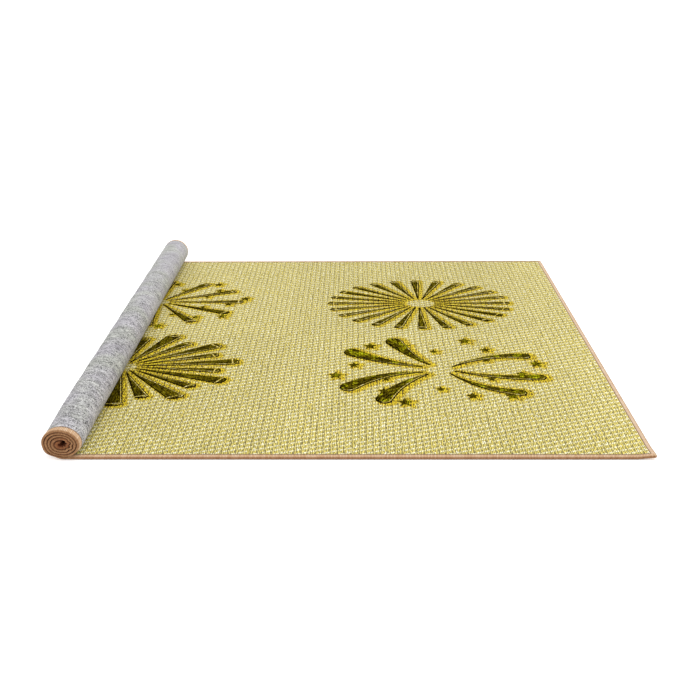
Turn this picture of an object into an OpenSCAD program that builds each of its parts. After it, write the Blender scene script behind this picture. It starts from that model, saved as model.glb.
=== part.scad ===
// Rectangular woven area rug, lying face up with one short end rolled up onto its face.
// X runs along the length, with the roll at -X. Y runs across the width. Z is up from the floor.
// The layers of the cloth are counted as depths from the outside of the backing, which lies on the floor.

/* [Rug] */
// Length of the rug when it is laid out flat
rug_length = 1524; // [1200:1:1800]
// Width of the rug
rug_width = 914; // [600:1:1200]
// Length still lying flat, from the line where the roll starts to the flat end
laid_length = 970; // [700:1:1000]

/* [Cloth] */
// Thickness of the grey backing cloth
backing_t = 1.8; // [1.5:0.1:2.5]
// Thickness of the adhesive between the two cloths
bond_t = 0.4; // [0.2:0.1:0.6]
// Thickness of the woven face cloth
face_t = 2.8; // [2.2:0.1:3.5]
// Height of the pattern yarn above the face
motif_t = 0.8; // [0.4:0.1:1]

/* [Roll] */
// Radius of the space left in the middle of the roll
core_r = 5.5; // [4:0.5:12]
// Gap between one turn and the next
turn_gap = 0.3; // [0.2:0.1:1]

/* [Serging] */
// Width of the yarn wrapping along each edge
serge_w = 10; // [8:0.5:14]
// Thickness of the yarn around the edge of the cloth
serge_t = 1.1; // [0.8:0.1:1.2]

/* [Pattern] */
// Middle of the starburst, from the flat end and from the front edge
starburst_at = [345, 629]; // [240:1:650]
// Middle of the comet burst, from the flat end and from the front edge
comet_burst_at = [332, 302]; // [240:1:350]
// Middle of the fan burst, from the flat end and from the front edge
fan_burst_at = [958, 315]; // [300:1:960]
// Middle of the spray burst, from the flat end and from the front edge
spray_burst_at = [958, 639]; // [600:1:960]
// Reach of the starburst along the rug
burst_r = 214; // [180:1:225]
// Height of a motif as a share of its length along the rug
burst_squash = 0.66; // [0.6:0.01:0.7]

/* [Hidden] */

// Depths through the cloth, from the floor up
bond_w = backing_t;
face_w = backing_t + bond_t;
cloth_t = backing_t + bond_t + face_t;
tongue_low = serge_t;
tongue_high = cloth_t - serge_t;
// The edge of the cloth stops this far short of the outside of the serging
edge_in = serge_t;

// The pattern keeps this far from the line where the roll rests
roll_clear = 10;

// Where a comet starts and ends, as shares of the motif's reach
comet_tip = 0.15;
comet_head = 0.95;
// Angle from one long ray of the fan burst to the next
fan_step = 31;
// Sparks stand in three rings, with these shares of the motif's reach and these sizes
ring_share = [0.95, 0.55, 0.78];
ring_size = [16, 10, 13];

// The roll is a spiral that closes by one cloth and one gap in each turn
turn_pitch = cloth_t + turn_gap;
rolled_length = rug_length - laid_length;
core_mid_r = core_r + cloth_t / 2;
roll_mid_r = sqrt(core_mid_r * core_mid_r + rolled_length * turn_pitch / PI);
roll_r = roll_mid_r + cloth_t / 2;
end_angle = 360 * (roll_mid_r - core_mid_r) / turn_pitch;
step_angle = 9;

// The roll reaches furthest to the left a quarter turn up from the floor
left_reach = roll_r - turn_pitch / 4;
roll_x = -(left_reach + laid_length) / 2 + left_reach;
end_x = roll_x + laid_length;
half_w = rug_width / 2;

// Angle that a length of cloth takes at the middle of the roll
function end_arc(length) = length / core_mid_r * 180 / PI;

// A point of the spiral, at one angle from the floor line and one depth in the cloth
function turn_point(a, w) =
    let (r = roll_r - w - turn_pitch * a / 360)
    [roll_x - r * sin(a), roll_r - r * cos(a)];

// The spiral from one angle to another at one depth
function turn_line(a0, a1, w) =
    let (n = ceil((a1 - a0) / step_angle))
    [for (i = [0 : n]) turn_point(a0 + (a1 - a0) * i / n, w)];

function backwards(points) = [for (i = [len(points) - 1 : -1 : 0]) points[i]];

// Side view of a layer from near the flat end to near the rolled end
module layer_profile(w0, w1, inset) {
    stop = end_angle - end_arc(inset);
    polygon(concat(
        [[end_x - inset, w1], [end_x - inset, w0]],
        turn_line(0, stop, w0),
        backwards(turn_line(0, stop, w1))));
}

// A side view carried across the rug from y0 to y1
module across(y0, y1)
    translate([0, y1, 0]) rotate([90, 0, 0]) linear_extrude(y1 - y0) children();

// A layer with its full thickness inside the serging and a thinner tongue under it
module tongued_layer(full, tongue) {
    across(-half_w + serge_w, half_w - serge_w) layer_profile(full[0], full[1], serge_w);
    across(-half_w + edge_in, half_w - edge_in) layer_profile(tongue[0], tongue[1], edge_in);
}

// Serging along one long edge, wrapped round the tongue of the cloth
module side_serging(y0, y1, groove0, groove1)
    difference() {
        across(y0, y1) layer_profile(0, cloth_t, 0);
        across(groove0, groove1) layer_profile(tongue_low, tongue_high, edge_in);
    }

module face_cloth()
    color([0.88, 0.84, 0.56])
        tongued_layer([face_w, cloth_t], [face_w, tongue_high]);

module bonding_layer()
    color([0.93, 0.91, 0.84])
        across(-half_w + edge_in, half_w - edge_in) layer_profile(bond_w, face_w, edge_in);

module backing_cloth()
    color([0.74, 0.74, 0.73])
        tongued_layer([0, bond_w], [tongue_low, bond_w]);

module front_serging()
    color([0.86, 0.69, 0.5])
        side_serging(-half_w, -half_w + serge_w, -half_w + edge_in, -half_w + serge_w + 1);

module back_serging()
    color([0.86, 0.69, 0.5])
        side_serging(half_w - serge_w, half_w, half_w - serge_w - 1, half_w - edge_in);

module flat_end_serging()
    color([0.86, 0.69, 0.5])
        across(-half_w + serge_w, half_w - serge_w)
            polygon([
                [end_x, 0], [end_x, cloth_t], [end_x - serge_w, cloth_t], [end_x - serge_w, tongue_high],
                [end_x - edge_in, tongue_high], [end_x - edge_in, tongue_low],
                [end_x - serge_w, tongue_low], [end_x - serge_w, 0]]);

module rolled_end_serging() {
    wrap = end_angle - end_arc(serge_w);
    edge = end_angle - end_arc(edge_in);
    color([0.86, 0.69, 0.5])
        across(-half_w + serge_w, half_w - serge_w)
            polygon(concat(
                turn_line(wrap, end_angle, 0),
                backwards(turn_line(wrap, end_angle, cloth_t)),
                turn_line(wrap, edge, tongue_high),
                backwards(turn_line(wrap, edge, tongue_low))));
}

// A flat pattern of yarn on the face, with its middle at a distance from the flat end and the front edge
module on_face(at)
    translate([end_x - at[0], at[1] - half_w, cloth_t]) linear_extrude(motif_t) children();

// The pattern stops just short of the line where the roll rests on the face
module clear_of_roll(at)
    intersection() {
        children();
        translate([at[0] - laid_length + roll_clear, -half_w]) square([laid_length, rug_width]);
    }

// Straight ray that widens outward, with a blunt outer end
module ray(angle, r0, r1, w0, w1)
    rotate(angle)
        polygon([[r0, -w0], [r1 - w1 / 2, -w1], [r1, -w1 / 2], [r1, w1 / 2], [r1 - w1 / 2, w1], [r0, w0]]);

function curve_at(p, t) = p[0] * (1 - t) * (1 - t) + p[1] * 2 * t * (1 - t) + p[2] * t * t;
function curve_dir(p, t) =
    let (d = (p[1] - p[0]) * (1 - t) + (p[2] - p[1]) * t)
    d / norm(d);

// A point in one direction from the middle of a motif, at a share of its reach along and across the rug
function reached(angle, share) = [burst_r * cos(angle), burst_r * burst_squash * sin(angle)] * share;

// Curved tail that grows from a thin inner tip to a round outer head, bowed away from the motif's long axis
module comet(angle, bow, w) {
    steps = 14;
    tip = reached(angle, comet_tip);
    head = reached(angle, comet_head);
    line = (head - tip) / norm(head - tip);
    p = [tip, (tip + head) / 2 + bow * [-line[1], line[0]], head];
    side = [for (i = [0 : steps])
        let (t = i / steps, d = curve_dir(p, t))
        [curve_at(p, t), [-d[1], d[0]] * w * (0.12 + 0.88 * t)]];
    head_dir = curve_dir(p, 1);
    head_side = [-head_dir[1], head_dir[0]];
    polygon(concat(
        [for (i = [0 : steps]) side[i][0] + side[i][1]],
        [for (a = [15 : 15 : 165]) head + w * (head_side * cos(a) + head_dir * sin(a))],
        [for (i = [steps : -1 : 0]) side[i][0] - side[i][1]]));
}

// Small five-pointed spark
module spark(at, r)
    translate(at)
        polygon([for (i = [0 : 9]) let (k = i % 2 == 0 ? r : r * 0.45) [k * sin(36 * i), k * cos(36 * i)]]);

module motif_starburst()
    color([0.3, 0.29, 0.08])
        on_face(starburst_at)
            scale([1, burst_squash])
                for (i = [0 : 23]) ray(15 * i, burst_r * 0.17, burst_r, 1.5, 11);

module motif_comet_burst()
    color([0.3, 0.29, 0.08])
        on_face(comet_burst_at) {
            for (c = [[25, 32, 12], [113, 10, 19], [146, 16, 17], [211, -28, 17], [238, -20, 17],
                      [317, -30, 12], [346, -20, 12]])
                comet(c[0], c[1], c[2]);
            for (i = [0 : 17]) spark(reached(20 * i + 10, ring_share[i % 3]), ring_size[i % 3]);
        }

module motif_fan_burst()
    color([0.3, 0.29, 0.08])
        on_face(fan_burst_at)
            clear_of_roll(fan_burst_at)
                scale([1, burst_squash])
                    for (a = [-85 : fan_step : 75]) {
                        ray(a, 28, 232, 1.5, 19);
                        ray(a + fan_step / 2, 40, 200, 1.5, 14);
                    }

module motif_spray_burst()
    color([0.3, 0.29, 0.08])
        on_face(spray_burst_at)
            clear_of_roll(spray_burst_at) {
                scale([1, burst_squash])
                    for (a = [-90 : 30 : 90]) ray(a, 24, 200, 1.5, 14);
                for (i = [0 : 11]) spark(reached(15 * i - 82.5, ring_share[i % 3]), 0.8 * ring_size[i % 3]);
            }

face_cloth();
bonding_layer();
backing_cloth();
front_serging();
back_serging();
flat_end_serging();
rolled_end_serging();
motif_starburst();
motif_comet_burst();
motif_fan_burst();
motif_spray_burst();
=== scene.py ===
import math

import bpy
import numpy as np
from mathutils import Euler, Matrix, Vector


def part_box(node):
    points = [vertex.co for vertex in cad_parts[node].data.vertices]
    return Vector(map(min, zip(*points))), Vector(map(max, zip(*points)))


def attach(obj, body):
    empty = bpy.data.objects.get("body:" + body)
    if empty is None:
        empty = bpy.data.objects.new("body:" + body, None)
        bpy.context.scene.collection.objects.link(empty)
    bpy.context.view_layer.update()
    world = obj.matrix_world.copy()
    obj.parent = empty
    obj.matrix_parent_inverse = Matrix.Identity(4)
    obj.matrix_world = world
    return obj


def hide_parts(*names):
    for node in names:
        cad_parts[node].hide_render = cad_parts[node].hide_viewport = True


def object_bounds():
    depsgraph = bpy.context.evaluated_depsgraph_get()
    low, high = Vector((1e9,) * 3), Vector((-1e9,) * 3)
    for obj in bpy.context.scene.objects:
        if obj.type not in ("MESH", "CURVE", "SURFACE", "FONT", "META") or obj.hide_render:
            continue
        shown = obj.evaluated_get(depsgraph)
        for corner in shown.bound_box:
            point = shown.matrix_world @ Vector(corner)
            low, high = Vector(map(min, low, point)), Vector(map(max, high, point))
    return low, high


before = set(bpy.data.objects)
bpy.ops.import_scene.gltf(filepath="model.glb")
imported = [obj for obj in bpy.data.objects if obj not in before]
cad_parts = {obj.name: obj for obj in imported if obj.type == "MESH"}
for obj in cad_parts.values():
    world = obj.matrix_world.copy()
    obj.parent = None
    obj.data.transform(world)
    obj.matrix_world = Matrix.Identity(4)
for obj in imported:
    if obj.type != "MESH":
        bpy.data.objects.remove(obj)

cad_low, cad_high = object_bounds()

# Sizes are in metres. X runs along the rug with the roll at -X, Y runs across it, and Z is up from the floor
# "u" is a distance along the rug from its flat end, and "v" is a distance across it from its front edge
# "depth" is counted through the cloth from the outside of the backing, which lies on the floor
MM = 0.001
RUG_LENGTH = 1524 * MM
LAID_LENGTH = 970 * MM
RUG_WIDTH = cad_high.y - cad_low.y
FLAT_END_X = cad_high.x
FRONT_Y = cad_low.y
CLOTH_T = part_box("motif_starburst")[0].z
MOTIF_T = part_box("motif_starburst")[1].z - CLOTH_T
SERGE_W = cad_high.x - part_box("flat_end_serging")[0].x
# Depth of the middle of the adhesive film
FILM_DEPTH = 2.0 * MM

# The roll is a spiral that closes by one cloth and one gap in each turn
TURN_GAP = 0.3 * MM
TURN_PITCH = CLOTH_T + TURN_GAP
CORE_MID_R = 8 * MM
ROLL_MID_R = math.sqrt(CORE_MID_R ** 2 + (RUG_LENGTH - LAID_LENGTH) * TURN_PITCH / math.pi)
ROLL_R = ROLL_MID_R + CLOTH_T / 2
ROLL_X = FLAT_END_X - LAID_LENGTH
LAST_TURN = 2 * math.pi * (ROLL_MID_R - CORE_MID_R) / TURN_PITCH

# The weave: the width of a column of yarn, the length of one float in it, the share of a float by which each
# column is moved on from the last, and how far the crown of a float stands above the gaps
COLUMN_W = 3 * MM
FLOAT_LENGTH = 4 * MM
COLUMN_SHIFT = 1 / 4
YARN_RELIEF = 0.55 * MM

# The ground is printed in four panels that meet at this u and v
PANEL_U = 645 * MM
PANEL_V = 465 * MM

# The canvas has a tone of its own in each square of this width
THREAD_W = 1.5 * MM

# Serging: one wrap of yarn takes this much of the edge
WRAP_PITCH = 2.4 * MM

# Light that falls on a level surface, so that a colour can be given as it looks in the picture
EXPOSURE = 1.4


def colour(red, green, blue):
    """The surface colour, as linear RGBA, that looks like a 0 to 255 display colour in the scene's light."""
    def linear(value):
        share = value / 255
        return share / 12.92 if share <= 0.04045 else ((share + 0.055) / 1.055) ** 2.4
    return tuple(linear(c) / EXPOSURE for c in (red, green, blue)) + (1.0,)


def ease(low, high, values):
    """0 below low, 1 above high and a smooth rise between them."""
    t = np.clip((values - low) / (high - low), 0, 1)
    return t * t * (3 - 2 * t)


# Colours of the floats of yarn
CREAM = colour(244, 240, 204)
SAND = colour(224, 214, 156)
STRAW = colour(214, 199, 106)
GOLD = colour(228, 210, 110)
MOSS = colour(188, 177, 108)
OLIVE = colour(150, 141, 92)
# The share of red, green and blue light left in the gaps of the weave
GAP_SHADE = (0.31, 0.285, 0.22, 1.0)
# Inks of the print, as the share of red, green and blue light that they let through
GOLD_INK = (1.0, 0.84, 0.04, 1.0)
DEEP_GOLD_INK = (0.42, 0.34, 0.01, 1.0)
OLIVE_INK = (0.11, 0.095, 0.012, 1.0)
MOSS_INK = (0.25, 0.22, 0.018, 1.0)
GREEN_INK = (0.62, 0.70, 0.03, 1.0)
BLACK_INK = (0.016, 0.012, 0.002, 1.0)
PALE_INK = (1.0, 0.92, 0.62, 1.0)
# The share of light left on the face and on the serging inside the core of the roll
CORE_FACE_SHADE = (0.28, 0.08, 0.05, 1.0)
CORE_SERGING_SHADE = (0.75, 0.55, 0.42, 1.0)


# ---------------------------------------------------------------- materials

class Look:
    """One procedural material, built with short calls. Every value may be a number, a colour or a socket."""

    def __init__(self, name, roughness, sheen, sheen_tint):
        self.material = bpy.data.materials.new(name)
        self.material.use_nodes = True
        self.tree = self.material.node_tree
        self.shader = self.tree.nodes["Principled BSDF"]
        self.shader.inputs["Roughness"].default_value = roughness
        self.shader.inputs["Specular IOR Level"].default_value = 0.25
        self.shader.inputs["Sheen Weight"].default_value = sheen
        self.shader.inputs["Sheen Roughness"].default_value = 0.5
        self.shader.inputs["Sheen Tint"].default_value = sheen_tint

    def put(self, socket, value):
        """Link a socket into an input, or set the input to a plain value."""
        if isinstance(value, bpy.types.NodeSocket):
            self.tree.links.new(value, socket)
        else:
            socket.default_value = value

    def read(self, attribute, output="Fac"):
        """A value that the mesh carries at each of its points."""
        node = self.tree.nodes.new("ShaderNodeAttribute")
        node.attribute_name = attribute
        return node.outputs[output]

    def math(self, operation, *values):
        node = self.tree.nodes.new("ShaderNodeMath")
        node.operation = operation
        for socket, value in zip(node.inputs, values):
            self.put(socket, value)
        return node.outputs[0]

    def split(self, vector):
        node = self.tree.nodes.new("ShaderNodeSeparateXYZ")
        self.put(node.inputs[0], vector)
        return node.outputs[0], node.outputs[1], node.outputs[2]

    def join(self, x, y, z=0.0):
        node = self.tree.nodes.new("ShaderNodeCombineXYZ")
        for socket, value in zip(node.inputs, (x, y, z)):
            self.put(socket, value)
        return node.outputs[0]

    def random(self, vector):
        """One random value from 0 to 1 for each place. The third number of the place serves as a seed."""
        node = self.tree.nodes.new("ShaderNodeTexWhiteNoise")
        node.noise_dimensions = "3D"
        self.put(node.inputs["Vector"], vector)
        return node.outputs["Value"]

    def noise(self, vector, scale, detail=2.0, rough=0.5):
        node = self.tree.nodes.new("ShaderNodeTexNoise")
        self.put(node.inputs["Vector"], vector)
        self.put(node.inputs["Scale"], scale)
        self.put(node.inputs["Detail"], detail)
        self.put(node.inputs["Roughness"], rough)
        return node.outputs["Fac"]

    def stretched_noise(self, x, x_scale, y, y_scale, detail=2.0, rough=0.5):
        """Noise that has a scale of its own in each of two directions."""
        place = self.join(self.math("MULTIPLY", x, x_scale), self.math("MULTIPLY", y, y_scale))
        return self.noise(place, 1.0, detail, rough)

    def remap(self, value, low, high, new_low=0.0, new_high=1.0):
        """A smooth change from one value to another as the given value goes from low to high."""
        node = self.tree.nodes.new("ShaderNodeMapRange")
        node.interpolation_type = "SMOOTHSTEP"
        for key, given in zip(("Value", "From Min", "From Max", "To Min", "To Max"),
                              (value, low, high, new_low, new_high)):
            self.put(node.inputs[key], given)
        return node.outputs[0]

    def mix(self, factor, first, second, blend="MIX"):
        node = self.tree.nodes.new("ShaderNodeMix")
        node.data_type = "RGBA"
        node.blend_type = blend
        self.put(node.inputs["Factor"], factor)
        self.put(node.inputs["A"], first)
        self.put(node.inputs["B"], second)
        return node.outputs["Result"]

    def steps(self, factor, stops):
        """A colour from a row of (place, colour) stops, with a hard change at each."""
        node = self.tree.nodes.new("ShaderNodeValToRGB")
        ramp = node.color_ramp
        ramp.interpolation = "CONSTANT"
        while len(ramp.elements) < len(stops):
            ramp.elements.new(1.0)
        for element, (place, shade) in zip(ramp.elements, stops):
            element.position = place
            element.color = shade
        self.put(node.inputs["Fac"], factor)
        return node.outputs["Color"]

    def brightness(self, shade):
        node = self.tree.nodes.new("ShaderNodeRGBToBW")
        self.put(node.inputs[0], shade)
        return node.outputs[0]

    def scaled(self, base, factor):
        """A colour made darker or lighter by a grey factor."""
        node = self.tree.nodes.new("ShaderNodeVectorMath")
        node.operation = "SCALE"
        self.put(node.inputs[0], base[:3] if isinstance(base, tuple) else base)
        self.put(node.inputs["Scale"], factor)
        return node.outputs[0]

    def finish(self, base, height, distance, roughness=None):
        """Plug in the base colour, the bumps and, if it varies, the roughness."""
        self.put(self.shader.inputs["Base Color"], base)
        if roughness is not None:
            self.put(self.shader.inputs["Roughness"], roughness)
        bump = self.tree.nodes.new("ShaderNodeBump")
        bump.inputs["Distance"].default_value = distance
        bump.inputs["Strength"].default_value = 0.8
        self.put(bump.inputs["Height"], height)
        self.tree.links.new(bump.outputs["Normal"], self.shader.inputs["Normal"])
        return self.material


def weave(look):
    """The colour of the woven yarn, a random value for each float, and how near a point is to its border.
    Distances across a column and along it are counted in columns and in floats."""
    u, v, _ = look.split(look.read("cloth", "Vector"))
    across = look.math("DIVIDE", u, COLUMN_W)
    column = look.math("FLOOR", across)
    moved_on = look.math("MULTIPLY", column, COLUMN_SHIFT)
    along = look.math("ADD", look.math("DIVIDE", v, FLOAT_LENGTH), moved_on)
    row = look.math("FLOOR", along)
    chance = look.random(look.join(column, row))
    # The colours repeat every four columns, and every three floats along each. A few floats are out of turn
    cell = [(CREAM, STRAW, MOSS), (SAND, GOLD, STRAW), (SAND, OLIVE, MOSS), (CREAM, STRAW, GOLD)]
    cell_rows = len(cell[0])
    out_of_turn = look.math("GREATER_THAN", chance, 0.94)
    turn = look.math("ADD", row, look.math("MULTIPLY", out_of_turn, look.math("MULTIPLY", chance, 5)))
    place = look.math("FRACT", look.math("DIVIDE", look.math("ADD", turn, 0.5), cell_rows))
    kind = look.math("MODULO", column, len(cell))
    floats = None
    for number, row_colours in enumerate(cell):
        ramp = look.steps(place, [(i / cell_rows, shade) for i, shade in enumerate(row_colours)])
        if floats is None:
            floats = ramp
        else:
            floats = look.mix(look.math("GREATER_THAN", kind, number - 0.5), floats, ramp)
    # A float lies a little to one side of its column
    middle = look.remap(look.random(look.join(column, row, 5.0)), 0, 1, 0.28, 0.72)
    column_gap = look.math("ABSOLUTE", look.math("SUBTRACT", look.math("FRACT", across), middle))
    row_gap = look.math("ABSOLUTE", look.math("SUBTRACT", look.math("FRACT", along), 0.5))
    across_border = look.remap(column_gap, 0.22, 0.5)
    border = look.math("MAXIMUM", across_border, look.remap(row_gap, 0.26, 0.5, 0.0, 0.8))
    tone = look.remap(look.random(look.join(row, column, 3.0)), 0, 1, 0.93, 1.07)
    # Each float is two strands of yarn side by side
    strands = look.random(look.join(look.math("FLOOR", look.math("MULTIPLY", across, 2)), row, 7.0))
    tone = look.math("MULTIPLY", tone, look.remap(strands, 0, 1, 0.9, 1.1))
    # Painted shade: each float is brighter on its crown than at its ends, where it dips into the gap
    shade = look.math("MULTIPLY", tone, look.remap(row_gap, 0.26, 0.5, 1.40, 1.12))
    # Painted shade: the deep gaps from one column to the next are darkened to brown
    woven = look.mix(look.remap(column_gap, 0.12, 0.5), look.scaled(floats, shade), GAP_SHADE, "MULTIPLY")
    return woven, chance, border


def fibre_height(look, border):
    """Fine fibres on each float, and the gap round it."""
    fibres = look.noise(look.read("cloth", "Vector"), 1500, 2.0, 0.6)
    return look.math("SUBTRACT", fibres, look.math("MULTIPLY", border, 0.8))


def face_look():
    look = Look("woven_face", 0.9, 0.05, (1.0, 0.95, 0.8, 1.0))
    yarn_colour, chance, border = weave(look)
    # The panels of the ground differ a little in tone, and it is paler near the flat end
    cloth = look.read("cloth", "Vector")
    u, v, _ = look.split(cloth)
    panel = look.math("MULTIPLY", look.math("SUBTRACT", look.math("GREATER_THAN", u, PANEL_U), 0.5),
                      look.math("SUBTRACT", look.math("GREATER_THAN", v, PANEL_V), 0.5))
    cloudy = look.remap(look.noise(cloth, 9, 3.0), 0.3, 0.7, 0.975, 1.025)
    tone = look.math("MULTIPLY", cloudy, look.math("ADD", 1.0, look.math("MULTIPLY", panel, 0.08)))
    tone = look.math("MULTIPLY", tone, look.remap(u, 0, 220 * MM, 1.09, 1.0))
    ground = look.scaled(yarn_colour, tone)
    # The golden ink sits deeper in the darker floats
    ink = look.mix(look.remap(look.brightness(ground), 0.1, 0.55), DEEP_GOLD_INK, GOLD_INK)
    printed = look.mix(look.read("halo"), ground, ink, "MULTIPLY")
    # Inside the core of the roll only a little brown light is left
    printed = look.mix(look.read("core"), printed, CORE_FACE_SHADE, "MULTIPLY")
    return look.finish(printed, fibre_height(look, border), 0.25 * MM,
                       look.remap(chance, 0, 1, 0.82, 0.95))


def pattern_look():
    look = Look("pattern_yarn", 0.92, 0.0, (1.0, 0.95, 0.7, 1.0))
    look.shader.inputs["Specular IOR Level"].default_value = 0.0
    yarn_colour, chance, border = weave(look)
    cloth = look.read("cloth", "Vector")
    edge, along, across = look.split(look.read("drawn", "Vector"))
    # Olive fill with lively green patches and dark streaks that run lengthwise
    patches = look.noise(cloth, 45, 2.0, 0.6)
    fill = look.mix(look.remap(patches, 0.42, 0.56), OLIVE_INK, MOSS_INK)
    lively = look.math("MULTIPLY", look.remap(patches, 0.50, 0.62), look.read("lively"))
    fill = look.mix(lively, fill, GREEN_INK)
    streaks = look.stretched_noise(across, 330, along, 7)
    fill = look.mix(look.remap(streaks, 0.50, 0.58), fill, BLACK_INK)
    # A dark outline, and a pale line just inside it on the side that is lit
    outline = look.math("LESS_THAN", edge, look.remap(look.read("lit"), 0.0, 0.4, 2.4 * MM, 5.2 * MM))
    drawn = look.mix(look.math("MULTIPLY", outline, look.read("bold")), fill, BLACK_INK)
    pale_line = look.math("COMPARE", edge, 3.3 * MM, 0.85 * MM)
    pale_line = look.math("MULTIPLY", pale_line, look.remap(look.read("lit"), 0.0, 0.5))
    pale_line = look.math("MULTIPLY", pale_line, look.read("bold"))
    drawn = look.mix(pale_line, drawn, PALE_INK)
    # A pale line cuts off the outer end of a ray
    drawn = look.mix(look.math("LESS_THAN", look.read("gap"), 1.5 * MM), drawn, PALE_INK)
    base = look.mix(1.0, yarn_colour, drawn, "MULTIPLY")
    return look.finish(base, fibre_height(look, border), 0.25 * MM, look.remap(chance, 0, 1, 0.85, 0.95))


def backing_look():
    look = Look("grey_canvas", 0.93, 0.05, (0.9, 0.9, 1.0, 1.0))
    cloth = look.read("cloth", "Vector")
    u, v, _ = look.split(cloth)
    thread = look.random(look.join(look.math("FLOOR", look.math("DIVIDE", u, THREAD_W)),
                                   look.math("FLOOR", look.math("DIVIDE", v, THREAD_W))))
    mottle = look.noise(cloth, 420, 3.0, 0.8)
    tone = look.math("ADD", look.remap(mottle, 0.38, 0.62, 0.52, 1.16), look.remap(thread, 0, 1, -0.3, 0.3))
    # Dashes run along the rug, and so round the roll
    dashes = look.stretched_noise(u, 55, v, 230, 3.0, 0.7)
    tone = look.math("ADD", tone, look.remap(dashes, 0.4, 0.6, -0.24, 0.2))
    # Towards the back edge the canvas is more even and a little paler
    mean = 0.8
    contrast = look.remap(v, RUG_WIDTH / 2, RUG_WIDTH, 1.0, 0.55)
    tone = look.math("ADD", look.math("MULTIPLY", look.math("SUBTRACT", tone, mean), contrast), mean)
    tone = look.math("ADD", tone, look.remap(v, 0, RUG_WIDTH, -0.02, 0.08))
    # Wide faint bands run the same way as the dashes
    bands = look.stretched_noise(u, 5, v, 75, 3.0)
    tone = look.math("ADD", tone, look.remap(bands, 0.36, 0.64, -0.08, 0.08))
    patches = look.remap(look.noise(cloth, 16, 2.0), 0.35, 0.65)
    base = look.mix(patches, colour(200, 201, 195), colour(201, 198, 203))
    return look.finish(look.scaled(base, tone), look.math("ADD", mottle, thread), 0.25 * MM)


def film_look():
    look = Look("latex_film", 0.5, 0.0, (1.0, 1.0, 1.0, 1.0))
    cloth = look.read("cloth", "Vector")
    patches = look.noise(cloth, 60, 3.0)
    base = look.mix(patches, colour(236, 230, 206), colour(218, 210, 184))
    return look.finish(base, patches, 0.2 * MM, look.remap(patches, 0.3, 0.7, 0.4, 0.6))


def serging_look():
    look = Look("serging_yarn", 0.85, 0.08, (1.0, 0.9, 0.75, 1.0))
    groove = look.read("groove")
    outward = look.read("outward")
    fibres = look.noise(look.read("cloth", "Vector"), 900, 2.0, 0.6)
    # Painted light and shade: the same yarn has a pale lit copy on the top and bottom of the band and a
    # darker shaded copy on its outer side
    top = look.mix(look.read("strand"), colour(226, 182, 139), colour(255, 228, 196))
    side = look.mix(look.read("strand"), colour(160, 114, 74), colour(198, 152, 108))
    base = look.mix(look.remap(outward, 0.40, 0.88), top, side)
    # Painted shadow: the yarn darkens towards the floor, where the band stands on it
    base = look.mix(look.read("under"), base, colour(112, 84, 62))
    # Painted shade: deep brown between the wraps, and dark dashes where they go into the face
    base = look.mix(look.remap(groove, 0.45, 1.0, 0.0, 0.75), base, colour(118, 66, 26))
    inner_edge = look.remap(outward, -0.46, -0.16, 1.0, 0.0)
    sunk = look.math("MULTIPLY", inner_edge, look.remap(groove, 0.0, 0.6, 0.55, 1.0))
    base = look.mix(sunk, base, colour(92, 56, 22))
    # Where one turn of the roll faces the next, only brown light is left
    base = look.mix(look.read("hidden"), base, colour(124, 66, 28))
    base = look.mix(look.read("core"), base, CORE_SERGING_SHADE, "MULTIPLY")
    shade = look.remap(fibres, 0.3, 0.7, 0.84, 1.14)
    return look.finish(look.scaled(base, shade), fibres, 0.2 * MM, look.remap(fibres, 0.3, 0.7, 0.75, 0.92))


# ---------------------------------------------------------------- the shape of the cloth

def turned_at(u):
    """How far round the roll a place on the rug is, in radians from the line where the roll rests."""
    rolled = np.clip(u - LAID_LENGTH, 0, None)
    left = np.clip(ROLL_MID_R ** 2 - rolled * TURN_PITCH / math.pi, 0, None)
    return 2 * math.pi / TURN_PITCH * (ROLL_MID_R - np.sqrt(left))


def length_at(turned):
    """The distance u of the place that far round the roll."""
    return LAID_LENGTH + ROLL_MID_R * turned - TURN_PITCH * turned ** 2 / (4 * math.pi)


def settled(x, z):
    """The inner turns of the roll sag out of round, close in on the core and ripple on the right.
    All the layers move together, so that none cuts another."""
    sag, close_in, ripple = 1.1 * MM, 2.9 * MM, 1.3 * MM
    right = x - ROLL_X
    up = z - ROLL_R
    out = np.hypot(right, up)
    turn = np.arctan2(up, right)
    loose = 1 - ease(11 * MM, 25 * MM, out)
    closed = 1 - ease(4 * MM, 16 * MM, out)
    rippled = ease(4 * MM, 10 * MM, out) * (1 - ease(16 * MM, 25 * MM, out))
    rippled = rippled * (1 - ease(0.6, 1.3, np.abs(turn + 0.3)))
    push = loose * sag * np.sin(2 * turn + 0.5) + rippled * ripple * np.sin(9 * turn)
    push = push - closed * close_in
    return x + push * np.cos(turn), z + push * np.sin(turn)


def cloth_place(u, depth):
    """X and Z of the place at a distance along the rug and a depth through it."""
    u, depth = np.broadcast_arrays(np.asarray(u, float), np.asarray(depth, float))
    turned = turned_at(u)
    r = ROLL_R - depth - TURN_PITCH * turned / (2 * math.pi)
    rolled_x, rolled_z = settled(ROLL_X - r * np.sin(turned), ROLL_R - r * np.cos(turned))
    on_floor = u <= LAID_LENGTH
    return np.where(on_floor, FLAT_END_X - u, rolled_x), np.where(on_floor, depth, rolled_z)


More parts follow.
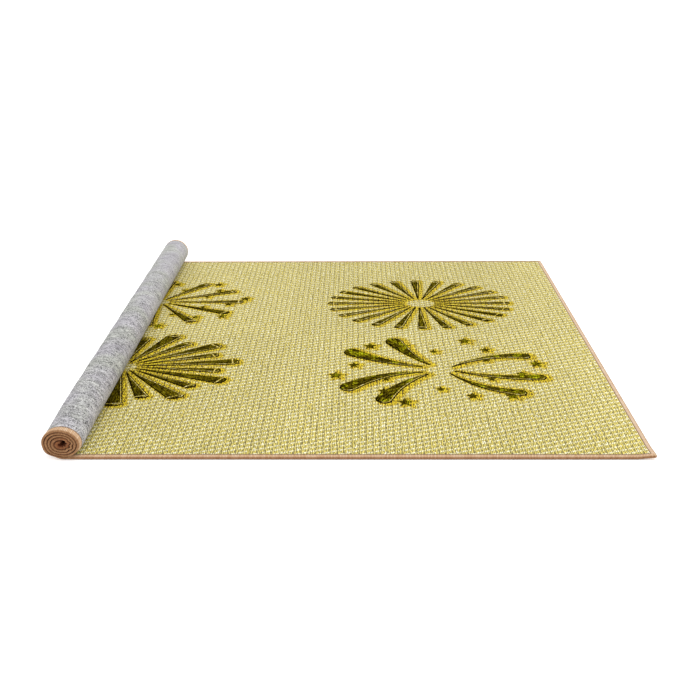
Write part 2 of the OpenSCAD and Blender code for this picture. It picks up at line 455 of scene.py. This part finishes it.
def slumped(x, z, v):
    """The roll lies a little nearer to the flat end than its spiral puts it. Towards its front end it sinks,
    and its rim leans the other way, furthest at the lower left."""
    nearer, lean, low_lean = 1.2 * MM, 3.1 * MM, 1.8 * MM
    near = 1 - ease(0, 120 * MM, v)
    rim = 1 - ease(0, 13 * MM, v)
    lift = ease(CLOTH_T, 14 * MM, z)
    low_left = ease(CLOTH_T, 10 * MM, z) * (1 - ease(14 * MM, 30 * MM, z)) * ease(0, 15 * MM, ROLL_X - x)
    x = x - lift * (rim * lean - nearer) - rim * low_left * low_lean
    sink = 0.09 * near + 0.05 * rim
    return x, z - sink * np.clip(z - CLOTH_T, 0, None)


def curled(u, v):
    """How far the front corner of the flat end curls up from the floor."""
    height, reach = 3 * MM, 38 * MM
    return height * (1 - ease(0, reach, np.hypot(u, v)))


def cloth_points(u, v, depth):
    """Points for a whole grid of u, v and depth values, with the grid's shape kept."""
    u, v, depth = np.broadcast_arrays(u, v, depth)
    x, z = cloth_place(u, depth)
    rolled_x, rolled_z = slumped(x, z, v)
    rolled = u > LAID_LENGTH
    return np.stack([np.where(rolled, rolled_x, x), FRONT_Y + v,
                     np.where(rolled, rolled_z, z + curled(u, v))], axis=-1)


def grid_quads(rows, columns, closed=False, first=0):
    """The faces between rows and columns of points. A closed grid joins its last column to its first."""
    i = np.arange(rows - 1)[:, None]
    j = np.arange(columns if closed else columns - 1)[None, :]
    k = (j + 1) % columns
    here, beyond = i * columns, (i + 1) * columns
    quads = np.stack([here + j, beyond + j, beyond + k, here + k], axis=-1)
    return quads.reshape(-1, 4) + first


def make_piece(name, points, quads, look, values, caps=()):
    """A mesh piece from arrays. The values are point attributes, and the caps are flat many-sided faces."""
    mesh = bpy.data.meshes.new(name)
    corners = np.concatenate([quads.ravel(), *caps]) if caps else quads.ravel()
    sizes = np.array([4] * len(quads) + [len(c) for c in caps])
    mesh.vertices.add(len(points))
    mesh.vertices.foreach_set("co", np.asarray(points, np.float32).ravel())
    mesh.loops.add(len(corners))
    mesh.loops.foreach_set("vertex_index", corners.astype(np.int32))
    mesh.polygons.add(len(sizes))
    mesh.polygons.foreach_set("loop_start", (np.cumsum(sizes) - sizes).astype(np.int32))
    mesh.polygons.foreach_set("use_smooth", sizes == 4)
    mesh.update(calc_edges=True)
    for key, data in values.items():
        data = np.asarray(data, np.float32)
        kind, field = ("FLOAT_VECTOR", "vector") if data.ndim == 2 else ("FLOAT", "value")
        mesh.attributes.new(key, kind, "POINT").data.foreach_set(field, data.ravel())
    piece = bpy.data.objects.new(name, mesh)
    bpy.context.scene.collection.objects.link(piece)
    mesh.materials.append(look)
    return piece


def in_core(u):
    """1 on the innermost half turn of the roll, and 0 from a turn further out."""
    return ease(LAST_TURN - 3 * math.pi, LAST_TURN - math.pi, turned_at(u))


def cloth_values(u, v):
    """The "cloth" attribute: each point's u and v."""
    u, v = np.broadcast_arrays(u, v)
    return np.stack([u.ravel(), v.ravel(), np.zeros(u.size)], axis=-1)


# ---------------------------------------------------------------- the printed pattern

# Each motif's middle, as u and v. X runs against u, so a motif's own x is measured towards the flat end
STARBURST_AT = np.array([345, 629]) * MM
COMET_BURST_AT = np.array([332, 302]) * MM
FAN_BURST_AT = np.array([958, 315]) * MM
SPRAY_BURST_AT = np.array([958, 639]) * MM
BURST_R = 214 * MM
SQUASH = np.array([1, 0.66])
# The pattern keeps this far from the line where the roll rests
ROLL_CLEAR = 10 * MM
# Half the width of a ray at its inner end
RAY_TIP = 1.5 * MM
# Where a comet starts and ends, as shares of its motif's reach, and how thin its tip is beside its head
COMET_TIP = 0.15
COMET_HEAD = 0.95
COMET_THIN = 0.12
# Sparks stand in three rings, with these shares of the motif's reach and these sizes
RING_SHARES = (0.95, 0.55, 0.78)
RING_SIZES = (16 * MM, 10 * MM, 13 * MM)
# The way to the lit side of each shape
LIT_WAY = np.array([0.8, -0.6])
# A shape that has no pale line across it is this far from one
NO_GAP = 1.0


def lit_side(away):
    """How much a part of a shape is on its lit side, from its direction away from the shape's middle."""
    length = np.maximum(np.linalg.norm(away, axis=-1), 1e-9)
    return np.clip(away @ LIT_WAY / length, 0, 1)


def strip(middle, side, half, outline, at, glow, gap=None, lively=0.0):
    """A shape of the pattern as a grid: rows go along its middle line, and columns across it.
    gap is how far from the middle of the motif a pale line crosses the shape."""
    columns = 11
    reach = np.linalg.norm(middle / SQUASH, axis=1)
    limit = at[0] - LAID_LENGTH + ROLL_CLEAR
    left = middle + side * half[:, None]
    right = middle - side * half[:, None]
    outline = np.array(outline)
    for points in (left, right, outline):
        points[:, 0] = np.maximum(points[:, 0], limit)
    share = np.linspace(0, 1, columns)[None, :, None]
    grid = right[:, None, :] * (1 - share) + left[:, None, :] * share
    across = np.linspace(-1, 1, columns)[None, :]
    away = np.broadcast_to(across[..., None] * side.reshape(-1, 1, 2), grid.shape)
    along = np.repeat(np.linspace(0, 1, len(middle))[:, None], columns, axis=1)
    gaps = np.full(len(middle), NO_GAP) if gap is None else np.abs(reach - gap)
    return {"at": at, "grid": grid, "outline": outline, "glow": glow, "lively": lively, "bold": 1.0,
            "along": along, "cross": across * half[:, None], "lit": lit_side(away),
            "gap": np.repeat(gaps[:, None], columns, axis=1)}


def ray(at, angle, r0, r1, w0, w1, gap):
    """Straight ray from r0 to r1 with a blunt outer end. w0 and w1 are half its width, inside and outside."""
    turn = math.radians(angle)
    out = np.array([math.cos(turn), math.sin(turn)])
    side = np.array([-out[1], out[0]])
    shoulder = r1 - w1 / 2
    r = np.append(np.linspace(r0, shoulder, 80), np.linspace(shoulder, r1, 5)[1:])
    half = np.interp(r, [r0, shoulder, r1], [w0, w1, w1 / 2])
    corners = [(r0, -w0), (shoulder, -w1), (r1, -w1 / 2), (r1, w1 / 2), (shoulder, w1), (r0, w0)]
    outline = [(a * out + b * side) * SQUASH for a, b in corners]
    middle = r[:, None] * out * SQUASH
    return strip(middle, side * SQUASH, half, outline, at, 8 * MM, gap=gap)


def reached(angle, share):
    """A point in one direction from the middle of a motif, at a share of its reach."""
    turn = math.radians(angle)
    return np.array([math.cos(turn), math.sin(turn)]) * BURST_R * SQUASH * share


def comet(at, angle, bow, w):
    """Curved tail that grows from a thin inner tip to a round outer head."""
    tip = reached(angle, COMET_TIP)
    head = reached(angle, COMET_HEAD)
    line = (head - tip) / np.linalg.norm(head - tip)
    bend = (tip + head) / 2 + bow * np.array([-line[1], line[0]])
    t = np.linspace(0, 1, 70)[:, None]
    middle = tip * (1 - t) ** 2 + bend * 2 * t * (1 - t) + head * t ** 2
    way = (bend - tip) * (1 - t) + (head - bend) * t
    way = way / np.linalg.norm(way, axis=1)[:, None]
    half = w * (COMET_THIN + (1 - COMET_THIN) * t[:, 0])
    # The round head goes on past the end of the middle line
    over = np.radians(np.linspace(8, 84, 10))
    middle = np.concatenate([middle, head + way[-1] * w * np.sin(over)[:, None]])
    half = np.concatenate([half, w * np.cos(over)])
    way = np.concatenate([way, np.repeat(way[-1:], len(over), axis=0)])
    side = np.stack([-way[:, 1], way[:, 0]], axis=-1)
    outline = np.concatenate([middle + side * half[:, None], (middle - side * half[:, None])[::-1]])[::3]
    return strip(middle, side, half, outline, at, 11 * MM, lively=1.0)


def spark(at, place, r):
    """Small five-pointed star, as rings of points round its middle."""
    corner = np.arange(10)
    turn = np.radians(36 * corner)
    reach = np.where(corner % 2 == 0, r, r * 0.45)
    star = np.stack([np.sin(turn), np.cos(turn)], axis=-1) * reach[:, None]
    shares = np.array([0.12, 0.4, 0.65, 0.85, 1.0])
    size = (len(shares), len(star))
    return {"at": at, "grid": place + star[None, :, :] * shares[:, None, None], "outline": place + star,
            "glow": 9 * MM, "lively": 0.6, "bold": 0.0, "closed": True,
            "along": np.broadcast_to(shares[:, None], size), "cross": np.broadcast_to(star[None, :, 0], size),
            "lit": np.zeros(size), "gap": np.full(size, NO_GAP)}


def ring_sparks(at, first, step, count, size):
    """Sparks an equal angle apart, which take turns on the three rings."""
    sparks = []
    for i in range(count):
        ring = i % len(RING_SHARES)
        sparks.append(spark(at, reached(first + step * i, RING_SHARES[ring]), RING_SIZES[ring] * size))
    return sparks


def starburst():
    count = 24
    return [ray(STARBURST_AT, 360 / count * i, BURST_R * 0.17, BURST_R, RAY_TIP, 11 * MM, BURST_R - 14 * MM)
            for i in range(count)]


def comet_burst():
    at = COMET_BURST_AT
    # Each comet's angle, its bow and half the width of its head in millimetres
    comets = [(25, 32, 12), (113, 10, 19), (146, 16, 17), (211, -28, 17), (238, -20, 17),
              (317, -30, 12), (346, -20, 12)]
    return [comet(at, a, bow * MM, w * MM) for a, bow, w in comets] + ring_sparks(at, 10, 20, 18, 1.0)


def fan_burst():
    at = FAN_BURST_AT
    first, step = -85, 31
    rays = []
    for i in range(6):
        rays.append(ray(at, step * i + first, 28 * MM, 232 * MM, RAY_TIP, 19 * MM, 219 * MM))
        rays.append(ray(at, step * (i + 0.5) + first, 40 * MM, 200 * MM, RAY_TIP, 14 * MM, 188 * MM))
    return rays


def spray_burst():
    at = SPRAY_BURST_AT
    rays = [ray(at, 30 * i - 90, 24 * MM, 200 * MM, RAY_TIP, 14 * MM, 188 * MM) for i in range(7)]
    return rays + ring_sparks(at, -82.5, 15, 12, 0.8)


def inside_by(points, outline):
    """How far each point is inside a closed outline, in metres, and below zero outside it."""
    tiny = 1e-12
    start = outline
    way = np.roll(outline, -1, axis=0) - start
    length2 = np.maximum((way ** 2).sum(1), tiny)
    offset = points[:, None, :] - start[None, :, :]
    t = np.clip((offset * way).sum(2) / length2, 0, 1)
    nearest = np.sqrt(((offset - t[..., None] * way) ** 2).sum(2)).min(1)
    # A point is inside if a line from it crosses the outline an odd number of times
    end = start + way
    spans = (start[:, 1] > points[:, None, 1]) != (end[:, 1] > points[:, None, 1])
    rise = np.where(np.abs(way[:, 1]) < tiny, tiny, way[:, 1])
    crossing = start[:, 0] + (points[:, None, 1] - start[:, 1]) * way[:, 0] / rise
    inside = (spans & (points[:, None, 0] < crossing)).sum(1) % 2 == 1
    return np.where(inside, nearest, -nearest)


def yarn_height(u, v):
    """Height of the floats of yarn, from 0 in the gaps to 1 on their crowns."""
    across = u / COLUMN_W
    along = v / FLOAT_LENGTH + np.floor(across) * COLUMN_SHIFT
    return np.sin(math.pi * (across % 1)) * np.sin(math.pi * (along % 1))


def motif_piece(name, shapes, look):
    """All the shapes of one motif as one piece. Each is a low closed cushion of yarn on the face."""
    # Its edge is sunk into the face, and it rises to its full height within its shoulder
    sunk, shoulder = 0.35 * MM, 2.2 * MM
    points, quads, caps, first = [], [], [], 0
    values = {"cloth": [], "drawn": [], "gap": [], "lit": [], "lively": [], "bold": []}
    for shape in shapes:
        rows, columns = shape["grid"].shape[:2]
        flat = shape["grid"].reshape(-1, 2)
        edge = np.clip(inside_by(flat, shape["outline"]), 0, None)
        u, v = shape["at"][0] - flat[:, 0], shape["at"][1] + flat[:, 1]
        crown = np.sqrt(np.clip(edge / shoulder, 0, 1))
        height = crown * (sunk + 0.75 * MOTIF_T + 0.25 * MOTIF_T * yarn_height(u, v)) - sunk
        points.append(np.stack([FLAT_END_X - u, FRONT_Y + v, CLOTH_T + height], axis=-1))
        closed = shape.get("closed", False)
        quads.append(grid_quads(rows, columns, closed, first)[:, ::-1])
        index = first + np.arange(rows * columns).reshape(rows, columns)
        if closed:
            caps += [index[-1], index[0][::-1]]
        else:
            caps.append(np.concatenate([index[0, :-1], index[:-1, -1], index[-1, :0:-1], index[:0:-1, 0]]))
        values["cloth"].append(cloth_values(u, v))
        values["drawn"].append(np.stack([edge, shape["along"].ravel(), shape["cross"].ravel()], axis=-1))
        values["gap"].append(shape["gap"].ravel())
        values["lit"].append(shape["lit"].ravel())
        for key in ("lively", "bold"):
            values[key].append(np.full(rows * columns, shape[key]))
        first += rows * columns
    values = {key: np.concatenate(parts) for key, parts in values.items()}
    return make_piece(name, np.concatenate(points), np.concatenate(quads), look, values, caps)


def halo(u, v, shapes):
    """Golden glow that the print has round each shape, mostly on the side of the flat end."""
    glow = np.zeros(u.shape)
    for shape in shapes:
        width = shape["glow"]
        drift = np.array([0.6, -0.2]) * width
        place = np.stack([shape["at"][0] - u, v - shape["at"][1]], axis=-1)
        outline = shape["outline"] + drift
        low, high = outline.min(0) - width, outline.max(0) + width
        near = ((place > low) & (place < high)).all(-1)
        if near.any():
            inside = inside_by(place[near], outline)
            glow[near] = np.maximum(glow[near], ease(-width, -2 * MM, inside))
    return glow


# ---------------------------------------------------------------- the cloths

def round_the_roll(step_deg):
    """Distances u from the line where the roll rests to near the rolled end, a step apart round the roll."""
    count = int(math.degrees(LAST_TURN) / step_deg)
    turned = np.linspace(0, LAST_TURN, count + 1)
    return length_at(turned)[1:]


def face_piece(shapes, look):
    """The woven face, with three points to each float of yarn both ways on the part that lies flat."""
    u_step = COLUMN_W / 3
    v_step = FLOAT_LENGTH / 3
    # The face starts beneath the serging, this many points in from the edges
    end_points, side_points = 9, 7
    laid_u = (np.arange(end_points, int(LAID_LENGTH / u_step)) + 0.5) * u_step
    rolled_u = round_the_roll(9)
    rolled_u = rolled_u[rolled_u < RUG_LENGTH - 8 * MM]
    u = np.concatenate([laid_u, rolled_u])[:, None]
    v = ((np.arange(side_points, int(RUG_WIDTH / v_step) - side_points) + 0.5) * v_step)[None, :]
    depth = CLOTH_T - YARN_RELIEF * (1 - yarn_height(u, v))
    points = cloth_points(u, v, depth).reshape(-1, 3)
    flat_u, flat_v = (a.ravel() for a in np.broadcast_arrays(u, v))
    glow = np.zeros(flat_u.shape)
    laid = flat_u < LAID_LENGTH
    glow[laid] = halo(flat_u[laid], flat_v[laid], shapes)
    values = {"cloth": cloth_values(u, v), "halo": glow, "core": in_core(flat_u)}
    return make_piece("woven_face", points, grid_quads(u.size, v.size)[:, ::-1], look, values)


def plain_sheet(name, look, depth, laid_step, turn_step, v_step, edge_in, swell=0.0):
    """One of the lower layers of the rug, as a sheet at one depth that stops a little way in from the edges.
    Its points are a step apart: in metres on the floor and across the rug, and in degrees round the roll."""
    laid_u = np.linspace(edge_in, LAID_LENGTH, int(LAID_LENGTH / laid_step))
    rolled_u = round_the_roll(turn_step)
    rolled_u = rolled_u[rolled_u < RUG_LENGTH - edge_in]
    u = np.concatenate([laid_u, rolled_u])[:, None]
    v = np.linspace(edge_in, RUG_WIDTH - edge_in, int(RUG_WIDTH / v_step))[None, :]
    # The outer turn of the roll isn't quite even, away from its two ends
    outer_turn = (u > LAID_LENGTH) * (1 - ease(4.5, 6.0, turned_at(u)))
    inner = ease(10 * MM, 60 * MM, v) * ease(10 * MM, 60 * MM, RUG_WIDTH - v)
    waves = np.sin(u * 70 + 3 * np.sin(v * 9)) * np.sin(v * 31 + 1) + 0.6 * np.sin(v * 83 + u * 40)
    points = cloth_points(u, v, depth + swell * outer_turn * inner * waves).reshape(-1, 3)
    return make_piece(name, points, grid_quads(u.size, v.size), look, {"cloth": cloth_values(u, v)})


# ---------------------------------------------------------------- the serging

def serging_piece(name, place, length, look, seed, pale):
    """Yarn wrapped round an edge: one rounded rib for each wrap, swept along the edge.
    place gives u and v from the distance along the edge and the distance in from it. Each wrap is pale by a
    random amount on top of pale."""
    around = 22
    rings_per_wrap = 4
    rings = int(length / WRAP_PITCH) * rings_per_wrap + 1
    phi = np.linspace(0, 2 * math.pi, around, endpoint=False)[None, :]
    ring = np.arange(rings)[:, None]
    share = (ring / rings_per_wrap) % 1
    groove = (2 * share - 1) ** 2
    rng = np.random.default_rng(seed)
    strands = pale + 0.6 * rng.random(rings // rings_per_wrap + 2)[ring // rings_per_wrap]
    # A section that is nearly a flat oval: full over the cloth's thickness and round at the edge
    half_width, half_thickness, squareness = 6.0 * MM, 2.32 * MM, 2.8
    rib = 0.24 * MM * (1 - 1.6 * groove) + 0.05 * MM * (strands - 0.5)
    out_d = np.sign(np.cos(phi)) * np.abs(np.cos(phi)) ** (2 / squareness)
    out_t = np.sign(np.sin(phi)) * np.abs(np.sin(phi)) ** (2 / squareness)
    # Each end of the band closes in a short round cap
    from_end = np.minimum(ring, rings - 1 - ring) / rings_per_wrap
    closing = np.sqrt(np.clip(1 - (1 - np.clip(from_end, 0, 1)) ** 2, 0.12, 1))
    inward = half_width - (half_width + rib) * closing * out_d
    depth = CLOTH_T / 2 + (half_thickness + rib) * closing * out_t
    # The wraps slant a little across the edge
    slant = 0.5 * MM * out_d
    run = np.clip(ring * length / (rings - 1) + slant, 0, length)
    u, v = place(run, inward)
    points = cloth_points(u, v, np.maximum(depth, 0.02 * MM)).reshape(-1, 3)
    # One side of the yarn faces another turn wherever the rug is rolled up, and from the second turn both do
    turned = turned_at(u)
    facing = np.where(out_t > 0, ease(0, 0.2, turned), ease(2 * math.pi - 0.4, 2 * math.pi, turned))
    hidden = facing * ease(0.6, 0.95, np.abs(out_t))
    index = np.arange(rings * around).reshape(rings, around)

    def spread(data):
        return np.broadcast_to(data, index.shape).ravel()

    values = {
        "groove": spread(groove),
        "strand": spread(strands),
        "outward": spread(out_d),
        # Painted shadow near the floor, strongest at the floor and gone by 3.2 mm up
        "under": 0.8 * (1 - ease(0.6 * MM, 3.2 * MM, points[:, 2])),
        "core": spread(in_core(u)),
        "hidden": spread(hidden),
        "cloth": np.stack([spread(run), spread(inward), spread(depth)], axis=-1),
    }
    quads = grid_quads(rings, around, closed=True)
    return make_piece(name, points, quads, look, values, [index[0][::-1], index[-1]])


def front_edge(run, inward):
    return run, inward


def back_edge(run, inward):
    return run, RUG_WIDTH - inward


def flat_end(run, inward):
    return inward, SERGE_W / 2 + run


def rolled_end(run, inward):
    return RUG_LENGTH - inward, SERGE_W / 2 + run


# ---------------------------------------------------------------- the studio

def floor_look():
    look = Look("studio_floor", 0.9, 0.0, (1.0, 1.0, 1.0, 1.0))
    place = look.tree.nodes.new("ShaderNodeTexCoord").outputs["Object"]
    grain = look.noise(place, 30, 2.0)
    look.shader.inputs["Emission Color"].default_value = (1.0, 1.0, 1.0, 1.0)
    look.shader.inputs["Emission Strength"].default_value = 0.3
    return look.finish(look.mix(grain, (0.93, 0.93, 0.93, 1), (0.95, 0.95, 0.95, 1)), grain, 0.02 * MM)


def make_studio():
    """A white floor, a white sky, and a wide soft lamp overhead on the right."""
    reach = 30.0
    # The floor is just below the canvas, whose outer turn swells a little
    z = -0.3 * MM
    corners = [(-reach, -reach, z), (reach, -reach, z), (reach, reach, z), (-reach, reach, z)]
    floor = make_piece("studio_floor", np.array(corners), np.array([[0, 1, 2, 3]]), floor_look(), {})
    scene = bpy.context.scene
    scene.view_settings.view_transform = "Standard"
    world = bpy.data.worlds.new("studio")
    world.use_nodes = True
    sky = world.node_tree.nodes["Background"]
    sky.inputs["Color"].default_value = (1.0, 1.0, 1.0, 1.0)
    sky.inputs["Strength"].default_value = 1.0
    scene.world = world
    lamp = bpy.data.lights.new("softbox", "SUN")
    lamp.energy = 1.25
    lamp.angle = math.radians(40)
    sun = bpy.data.objects.new("softbox", lamp)
    sun.rotation_euler = (math.radians(-8), math.radians(24), 0)
    scene.collection.objects.link(sun)


def make_camera():
    """The camera of the photograph. Its angles are in degrees: down, to the left and tilted."""
    place = (0.0117, -1.5145, 0.7413)
    down, left, tilt = 27.01, 0.59, -0.33
    data = bpy.data.cameras.new("camera")
    data.sensor_width = 36
    data.lens = 40.17
    camera = bpy.data.objects.new("camera", data)
    turn = Euler((math.radians(90 - down), 0, math.radians(left))).to_matrix().to_4x4()
    level = Matrix.Rotation(math.radians(tilt), 4, "Z")
    camera.matrix_world = Matrix.Translation(place) @ turn @ level
    bpy.context.scene.collection.objects.link(camera)
    bpy.context.scene.camera = camera


# ---------------------------------------------------------------- the rug

make_camera()
make_studio()

motif_shapes = {
    "starburst": starburst(),
    "comet_burst": comet_burst(),
    "fan_burst": fan_burst(),
    "spray_burst": spray_burst(),
}
all_shapes = [shape for shapes in motif_shapes.values() for shape in shapes]

face = face_piece(all_shapes, face_look())
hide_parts("face_cloth")

backing = plain_sheet("canvas_backing", backing_look(), depth=0.0, laid_step=12 * MM, turn_step=6,
                      v_step=6 * MM, edge_in=9 * MM, swell=0.35 * MM)
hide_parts("backing_cloth")

film = plain_sheet("adhesive_film", film_look(), depth=FILM_DEPTH, laid_step=24 * MM, turn_step=12,
                   v_step=24 * MM, edge_in=3 * MM)
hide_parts("bonding_layer")

yarn = serging_look()
end_length = RUG_WIDTH - SERGE_W
# Each edge, with where its points are, its length, the seed of its strands and how pale they are. The flat
# end's band is the palest: painted light, for the lamp on that side
edges = [
    ("front", front_edge, RUG_LENGTH, 1, 0.0),
    ("back", back_edge, RUG_LENGTH, 2, 0.2),
    ("flat_end", flat_end, end_length, 3, 0.4),
    ("rolled_end", rolled_end, end_length, 4, 0.2),
]
sergings = []
for edge, place, length, seed, pale in edges:
    band = serging_piece(edge + "_overlock", place, length, yarn, seed, pale)
    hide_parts(edge + "_serging")
    sergings.append(band)

pattern = pattern_look()
motifs = []
for kind, shapes in motif_shapes.items():
    motif = motif_piece(kind + "_yarn", shapes, pattern)
    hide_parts("motif_" + kind)
    motifs.append(motif)

for piece in [face, backing, film, *sergings, *motifs]:
    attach(piece, "root")
